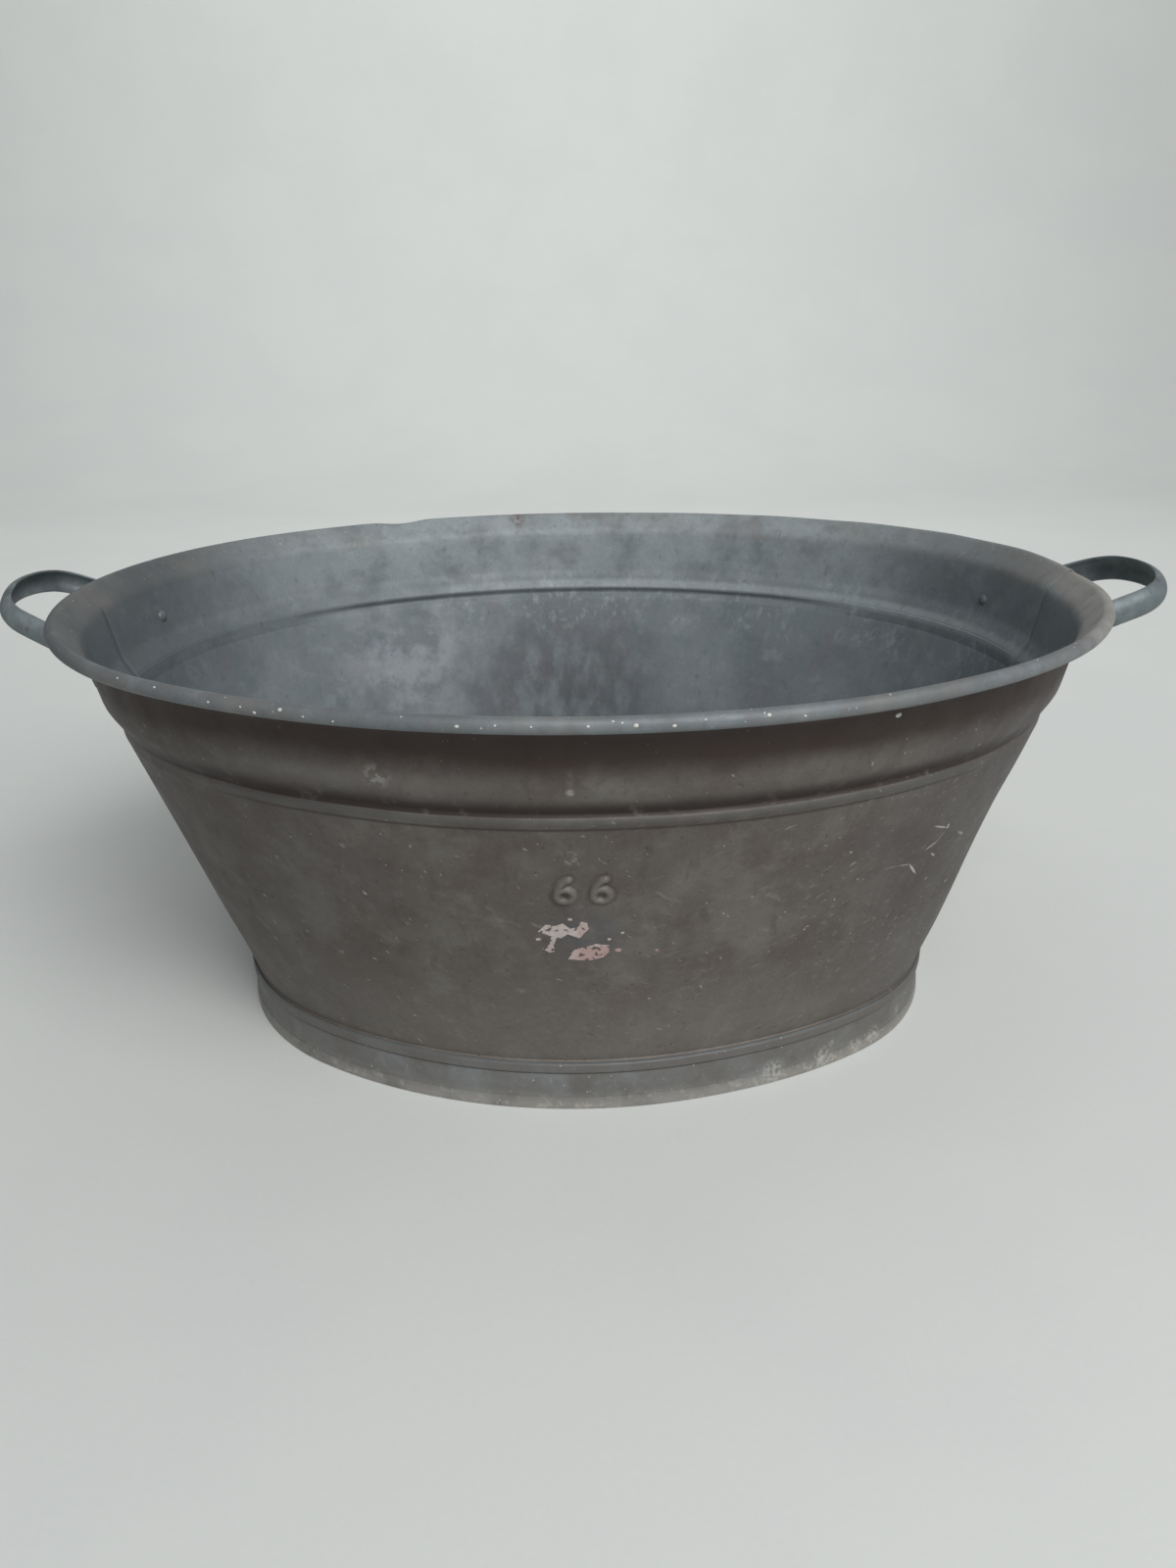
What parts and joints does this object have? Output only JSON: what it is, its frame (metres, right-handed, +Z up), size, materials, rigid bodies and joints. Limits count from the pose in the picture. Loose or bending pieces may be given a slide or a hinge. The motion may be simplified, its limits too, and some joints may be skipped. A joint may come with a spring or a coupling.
{
  "type": "oval wash tub",
  "caption": "Oval wash tub of zinc-coated sheet steel with a flared wired rim, a swaged collar, a seamed bottom on a foot hoop and fixed riveted strap handles at the ends.",
  "frame": {"origin": "centre of the box's base, on the ground under the middle of the tub", "axes": "+X along the length towards one handle, +Y towards the rear wall, +Z up"},
  "size_m": [0.7526, 0.5358, 0.2887],
  "materials": {
    "wall_zinc": "weathered zinc coating, dull, with stains",
    "inside_zinc": "weathered zinc coating, dull blue-grey",
    "wire_steel": "plain drawn steel wire",
    "bottom_zinc": "weathered zinc coating, dull",
    "foot_zinc": "weathered zinc coating with pale bloom",
    "handle_zinc": "zinc coating worn smooth by hands",
    "rivet_zinc": "zinc-coated steel rivet"
  },
  "bodies": {
    "root": {"front_wall_sheet": "wall_zinc", "rear_wall_sheet": "inside_zinc", "rim_wire": "wire_steel", "bottom_pan": "bottom_zinc", "foot_hoop": "foot_zinc", "left_handle": "handle_zinc", "right_handle": "handle_zinc", "left_handle_rivets": "rivet_zinc", "right_handle_rivets": "rivet_zinc"}
  },
  "joints": []
}
